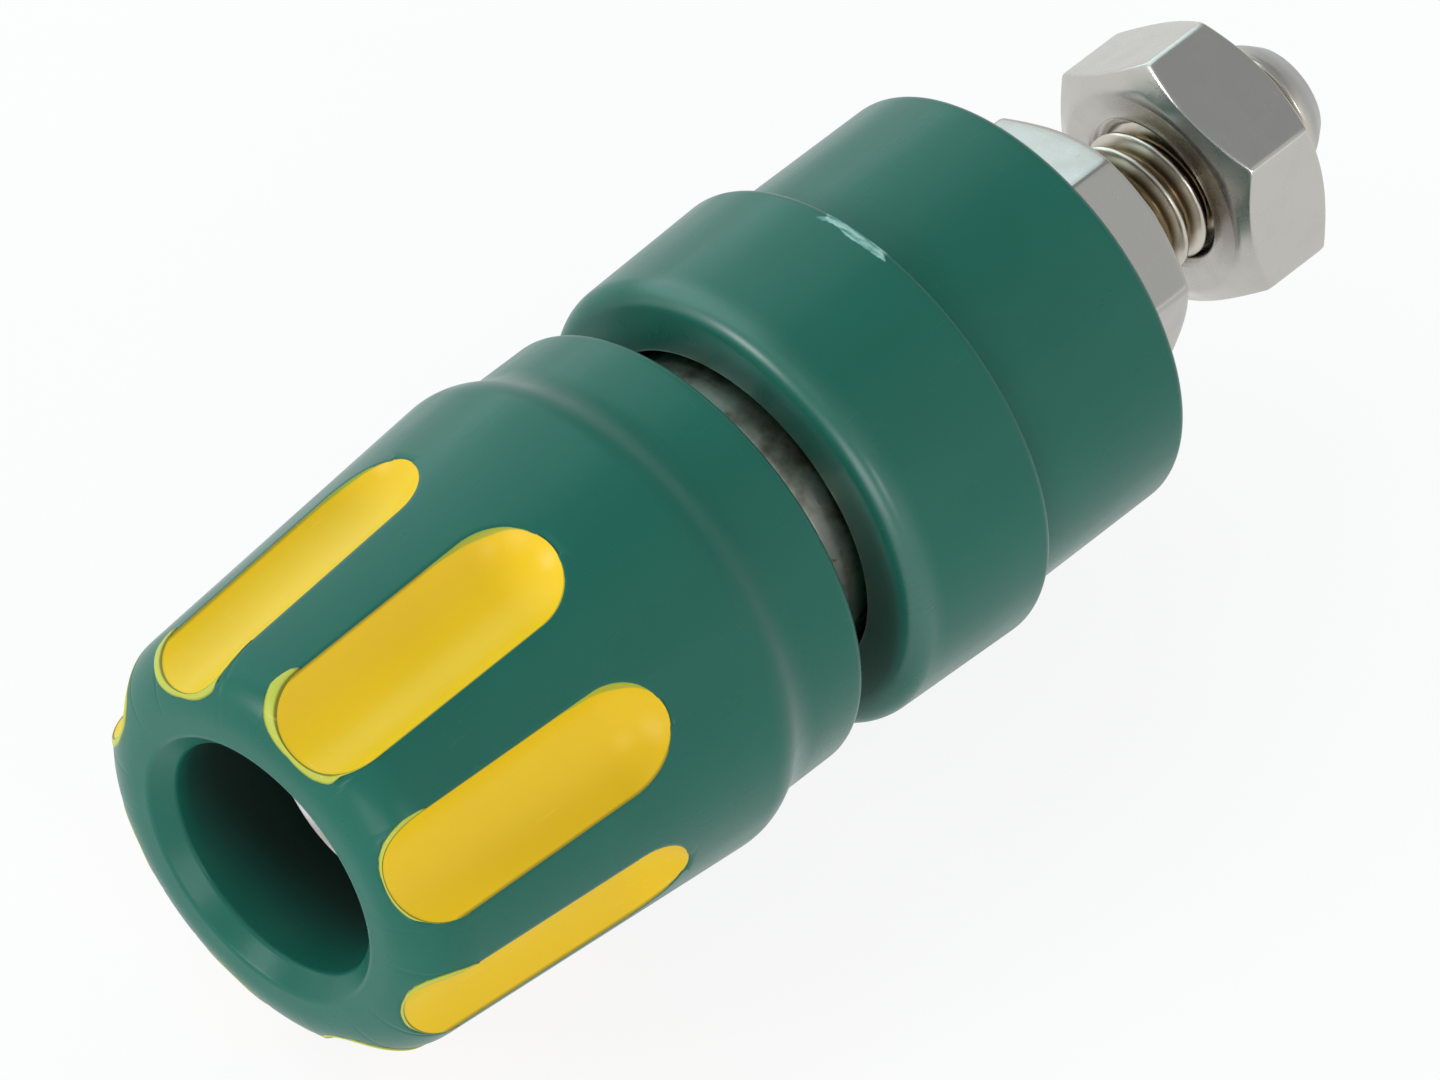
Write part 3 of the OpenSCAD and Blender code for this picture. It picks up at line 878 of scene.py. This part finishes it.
corners = [(-1, -1), (1, -1), (1, 1), (-1, 1)]
floor, tree = backdrop("floor", [(x * floor_half, y * floor_half, floor_z) for x, y in corners],
                       [(0, 1, 2, 3)])
path = node(tree, "LightPath")
seen = larger(larger(path["Is Camera Ray"], path["Is Glossy Ray"]), path["Is Transmission Ray"])
matt = node(tree, "BsdfDiffuse", {"Color": matt_white})[0]
shine = node(tree, "Emission", {"Color": white, "Strength": 1.0})[0]
blend = node(tree, "MixShader", {0: times(seen, 1 - shadow_share), 1: matt, 2: shine})[0]
node(tree, "OutputMaterial", {"Surface": blend})

wall_spots = [(wall_r * math.cos(a), wall_r * math.sin(a), z)
              for z in (floor_z, floor_z + wall_height) for a in full_turn(wall_columns)]
wall_faces = quads(2, wall_columns, False, True)[:, ::-1]
wall, tree = backdrop("wall", wall_spots, wall_faces.tolist())
wall.visible_diffuse = wall.visible_shadow = False
shine = node(tree, "Emission", {"Color": white, "Strength": wall_glow})[0]
node(tree, "OutputMaterial", {"Surface": shine})

world = bpy.data.worlds.new("studio")
bpy.context.scene.world = world
tree = emptied(world)
sky = node(tree, "Background", {"Color": sky_colour, "Strength": sky_strength})[0]
node(tree, "OutputWorld", {"Surface": sky})
print("floor at", round(floor_z / MM, 3), "mm")

# %% [markdown]
# ## Light
# Six square soft boxes look at the socket. The large cool one on the left does most of the work,
# and the smaller ones draw the highlights along the knob, the strips and the nuts. The sky alone
# would light everything evenly, and the metal would look flat.

# %% Set up the lamps


def lamp(name, azimuth, elevation, distance, size, power, colour=(1.0, 1.0, 1.0)):
    """A square soft box that looks at the origin from a direction given as for the camera."""
    data = bpy.data.lights.new(name, "AREA")
    data.shape, data.size, data.energy, data.color = "SQUARE", size, power, colour
    made = linked(name, data)
    stand(made, azimuth, elevation, distance)
    made.visible_camera = False
    print(name, "gives", power, "W")


# Azimuth and elevation in degrees, distance and size in metres, power in watts, and colour.
lamp("left_wall", -92, 38, 0.60, 0.80, 2.65, (0.72, 0.96, 1.0))
lamp("right_wall", 115, 30, 0.60, 0.60, 0.40)
lamp("top_box", 10, 68, 0.50, 0.30, 0.08)
lamp("front_box", -25, 20, 0.60, 0.17, 0.95)
lamp("side_box", 73, 27, 0.60, 0.15, 0.40)
lamp("low_box", 28, 10, 0.60, 0.28, 0.89)
bpy.context.scene.view_settings.view_transform = "Standard"

# %% [markdown]
# ## Moulded plastic
# A moulded skin isn't one flat colour. The pigment drifts in slow clouds, the gloss has faint flow
# streaks from the gate, and the surface has a very fine grain. The green and the yellow share this,
# so it is one node group that each finish places with its own colour and gloss.

# %% Make the moulded skin group
cloud_scale, streak_scale, grain_scale, cloud_gain = 240.0, 900.0, 5200.0, 3.0
skin_group, given, result, where = new_group("moulded_skin", ("Drift", "Gloss", "Pigment"))
clouds = noise(where, cloud_scale, detail=3.0)
streaks = noise(stretched(where, scale=(1.0, 0.2, 1.0)), streak_scale, detail=4.0)
grain = noise(where, grain_scale)
drift = times(minus(clouds, NOISE_MEAN), cloud_gain)
shade = added(1.0, drift, given["Drift"])
tinted = after("VectorMath", {0: given["Pigment"], "Scale": shade}, operation="SCALE")[0]
feed(result["Colour"], tinted)
feed(result["Roughness"], added(given["Gloss"], minus(streaks, NOISE_MEAN), share=0.22))
feed(result["Height"], added(grain, streaks, share=0.6))
print("group", skin_group.name, "has", len(skin_group.nodes), "nodes")

# %% [markdown]
# ## Handling marks
# Everything that has lain in a drawer has hairline scratches. They are noise drawn out into thin
# threads, in two directions, and kept only in patches. A picture of scratches would need unwrapped
# pieces, and noise doesn't. Plastic and metal both use the group.

# %% Make the hairline group
hair_group, given, result, where = new_group("hairlines", ("Amount",), ("Mask",))
first = noise(stretched(where, scale=(0.03, 1.0, 1.0), turn=(0.4, 0.3, 0.5)),
              scale=9000.0, detail=1.0)
second = noise(stretched(where, scale=(1.0, 0.03, 1.0), turn=(0.5, 0.2, 0.9)),
               scale=8000.0, detail=1.0)
threads = larger(step(first, low=0.70, high=0.74), step(second, low=0.71, high=0.75))
patches = step(noise(where, scale=420.0), low=0.48, high=0.62)
feed(result["Mask"], times(times(threads, patches), given["Amount"]))
print("group", hair_group.name, "has", len(hair_group.nodes), "nodes")

# %% [markdown]
# ## The green
# The green is a deep bluish bottle green with a soft gloss. Its mirror part is weak when seen
# straight on, so the colour stays full, and grows at the outline of the round forms. The mouth of
# the knob and the gap behind it are painted darker and more matt, as painted shade. The front
# insulator has an edge that handling has polished, drawn as a clear coat. It also shows where the
# sprue was cut off: a pale torn patch on its rear edge. The painted shade and the polish could be
# painted on a texture, but attributes of the points follow the form by themselves.

# %% Make the green finishes
green_pigment, green_hair = (0.0125, 0.126, 0.089, 1), (0.06, 0.22, 0.18, 1)
# Painted shade: a near black green for the mouth and the gap, and the attribute values over which
# it grows.
painted_shade_colour, shade_from, shade_full, shade_most = (0.010, 0.020, 0.015, 1), 0.7, 3.3, 0.92
torn_deep, torn_pale, polish_coat = (0.07, 0.24, 0.20, 1), (0.33, 0.56, 0.50, 1), 0.95


def finish(name, pieces, **constants):
    """Puts a new material on pieces. Returns its network and its Principled shader, which gets the
    values that are constant."""
    material = bpy.data.materials.new(name)
    material.use_nodes = True
    shader = material.node_tree.nodes["Principled BSDF"]
    for label, value in constants.items():
        shader.inputs[label.replace("_", " ")].default_value = value
    for piece in pieces:
        piece.data.materials.append(material)
        print(name, "on", piece.name)
    return material.node_tree, shader


def wire(shader, colour, roughness, height, strength):
    """Links colour and roughness to the shader, and a height through a Bump node to its normal."""
    bump = after("Bump", {"Height": height, "Strength": strength, "Distance": BUMP_DEPTH})
    feed(shader.inputs["Base Color"], colour)
    feed(shader.inputs["Roughness"], roughness)
    feed(shader.inputs["Normal"], bump[0])


def green_finish(name, piece, with_painted_shade=False, scar=None):
    """The green, with pale hairlines. On a piece with painted shade, an attribute says how dark and
    matt a place is painted, as shade. scar adds the polished edge, by the attribute polish, and the
    torn patch: its angle, station, half length and half width, in degrees and millimetres."""
    tree, shader = finish(name, [piece], Specular_IOR_Level=0.22, Coat_Roughness=0.34)
    skin = placed(tree, skin_group, Pigment=green_pigment, Drift=0.07, Gloss=0.30)
    hair = placed(tree, hair_group, Amount=0.10)["Mask"]
    colour, height = mix(hair, skin["Colour"], green_hair), skin["Height"]
    rough = added(skin["Roughness"], hair, share=0.1)
    # Painted shade: where the attribute says, the colour is mixed towards near black and made more
    # matt.
    if with_painted_shade:
        dark = step(mark(tree, "painted_shade"), shade_from, shade_full, end=shade_most)
        colour = mix(dark, colour, painted_shade_colour)
        rough = added(rough, dark, share=0.35)
    if scar:
        angle, station, half_length, half_width = scar
        where = node(tree, "TexCoord")["Object"]
        x, y, z = after("SeparateXYZ", {0: where})
        ragged = noise(stretched(where, scale=(0.5, 1.0, 1.0)), scale=3800.0, detail=4.0)
        turn = minus(maths("ARCTAN2", x, z), math.radians(angle))
        length = maths("ABSOLUTE", times(turn, flange_rear_r / half_length))
        beside = minus(y, station * MM)
        width = maths("ABSOLUTE", times(beside, 1 / (half_width * MM)))
        reach = added(larger(length, width), ragged, share=1.3)
        torn = step(reach, low=1.46, high=1.32)
        streak = noise(stretched(where, scale=(0.3, 1.0, 1.0)), scale=5000.0, detail=3.0)
        pale = mix(step(streak, low=0.42, high=0.62), torn_deep, torn_pale)
        colour = mix(torn, colour, pale)
        rough = added(rough, torn, share=0.25)
        height = added(height, times(torn, streak), share=6.0)
        feed(shader.inputs["Coat Weight"], times(mark(tree, "polish"), polish_coat))
    wire(shader, colour, rough, height, strength=0.12)


green_finish("green_moulding", rear_insulator)
green_finish("green_moulding_of_knob", knob_shell, with_painted_shade=True)
green_finish("green_moulding_with_scar", front_insulator, with_painted_shade=True,
             scar=(-1.0, -0.22, 1.45, 0.25))

# %% [markdown]
# ## The yellow
# The strips are a warm signal yellow. Where the yellow lies as a thin film over the green, the
# green shines through, so the film and the crept wedge are yellow-green. A fine dark line runs
# along each border, where the two mouldings meet. A shader can only guess at borders from the slope
# of a surface. The grid knows exactly where they are, so the attributes of the strips say it.

# %% Make the yellow finish
yellow_pigment, yellow_hair = (0.86, 0.565, 0.010, 1), (0.95, 0.72, 0.12, 1)
seam_olive, film_green = (0.20, 0.185, 0.012, 1), (0.47, 0.51, 0.06, 1)
crept_green = (0.33, 0.42, 0.05, 1)
tree, shader = finish("yellow_moulding", strips, Specular_IOR_Level=0.3)
film_mark, rim_mark, crept_mark = mark(tree, "film"), mark(tree, "rim"), mark(tree, "crept")
seam = larger(step(film_mark, low=0.02, high=0.10), step(rim_mark, low=0.06, high=0.01, end=0.75))
pigment = mix(seam, yellow_pigment, seam_olive)
pigment = mix(step(film_mark, low=0.24, high=0.40), pigment, film_green)
pigment = mix(step(film_mark, low=0.78, high=1.0, end=0.9), pigment, seam_olive)
pigment = mix(step(crept_mark, low=0.05, high=0.45, end=0.85), pigment, crept_green)
skin = placed(tree, skin_group, Pigment=pigment, Drift=0.035, Gloss=0.37)
hair = placed(tree, hair_group, Amount=0.2)["Mask"]
rough = added(skin["Roughness"], hair, share=0.15)
wire(shader, mix(hair, skin["Colour"], yellow_hair), rough, skin["Height"], strength=0.10)

# %% [markdown]
# ## Nickel
# The metal is nickel over brass. The loose nut is bright and barely marked, and the nut against
# the base has a greyer plate as painted shade, for the less light it gets. The collar, the ring
# and the tube are duller, because they were left as turned, with dark blotches of tarnish. The
# stud lies between them, and in the roots of a thread the plating is thin and brownish. One group
# makes the turning rings and the blotches, and each of the five finishes gives it other values.
# Five networks would look the same, but every change would have to be made five times.

# %% Make the nickel finishes
plate_group, given, result, where = new_group(
    "plated_metal", ("Stain", "Dullness", "Rings", "Blotches", "Plate", "Tarnish"))
rings = noise(stretched(where, scale=(0.02, 1.0, 0.02)), scale=9000.0)
mottle = noise(where, given["Blotches"], detail=4.0)
ringed = times(minus(rings, NOISE_MEAN), given["Rings"])
spread = times(step(mottle, low=0.42, high=0.72), given["Stain"])
uneven = added(given["Dullness"], ringed, share=0.3)
feed(result["Colour"], mix(spread, given["Plate"], given["Tarnish"]))
feed(result["Roughness"], added(uneven, minus(mottle, NOISE_MEAN), share=0.25))
feed(result["Height"], added(ringed, mottle, share=0.3))
root_brown, worn_grey = (0.16, 0.115, 0.065, 1), (0.36, 0.355, 0.345, 1)
slight = {"Tarnish": (0.30, 0.26, 0.20, 1), "Blotches": 1100.0, "Rings": 0.2}
bright = {**slight, "Stain": 0.05, "Dullness": 0.26}
turned = {"Plate": (0.88, 0.835, 0.765, 1), "Tarnish": (0.26, 0.215, 0.165, 1), "Blotches": 900.0,
          "Rings": 0.6, "Stain": 1.0, "Dullness": 0.32}


def nickel_finish(name, pieces, threaded=False, **values):
    """Nickel with turning rings, blotches of tarnish and hairlines. A threaded piece has two
    attributes: sunk is 1 in the roots of the thread, where the metal is darker and brown, and
    rubbed is 1 where it is worn grey and a little duller."""
    tree, shader = finish(name, pieces, Metallic=1.0)
    metal = placed(tree, plate_group, **values)
    hair = placed(tree, hair_group, Amount=0.5)["Mask"]
    colour, rough = metal["Colour"], added(metal["Roughness"], hair, share=0.2)
    if threaded:
        colour = mix(step(mark(tree, "sunk"), low=0.25, high=0.9), colour, root_brown)
        worn = mark(tree, "rubbed")
        colour = mix(worn, colour, worn_grey)
        rough = added(rough, worn, share=0.12)
    wire(shader, colour, rough, metal["Height"], strength=0.15)


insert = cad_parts["knob_insert"]
insert.data.materials.clear()
nickel_finish("bright_nickel", nuts[1:], Plate=(0.51, 0.495, 0.465, 1), **bright)
# Painted shade: the nut against the base gets a darker plate than the loose nut, for the less light
# it gets.
nickel_finish("shaded_nickel", nuts[:1], Plate=(0.41, 0.40, 0.375, 1), **bright)
nickel_finish("dull_nickel", [ring, insert], **turned)
nickel_finish("post_nickel", [tube], threaded=True, **turned)
nickel_finish("stud_nickel", [stud], threaded=True, Plate=(0.58, 0.54, 0.47, 1), Stain=0.25,
              Dullness=0.24, **slight)
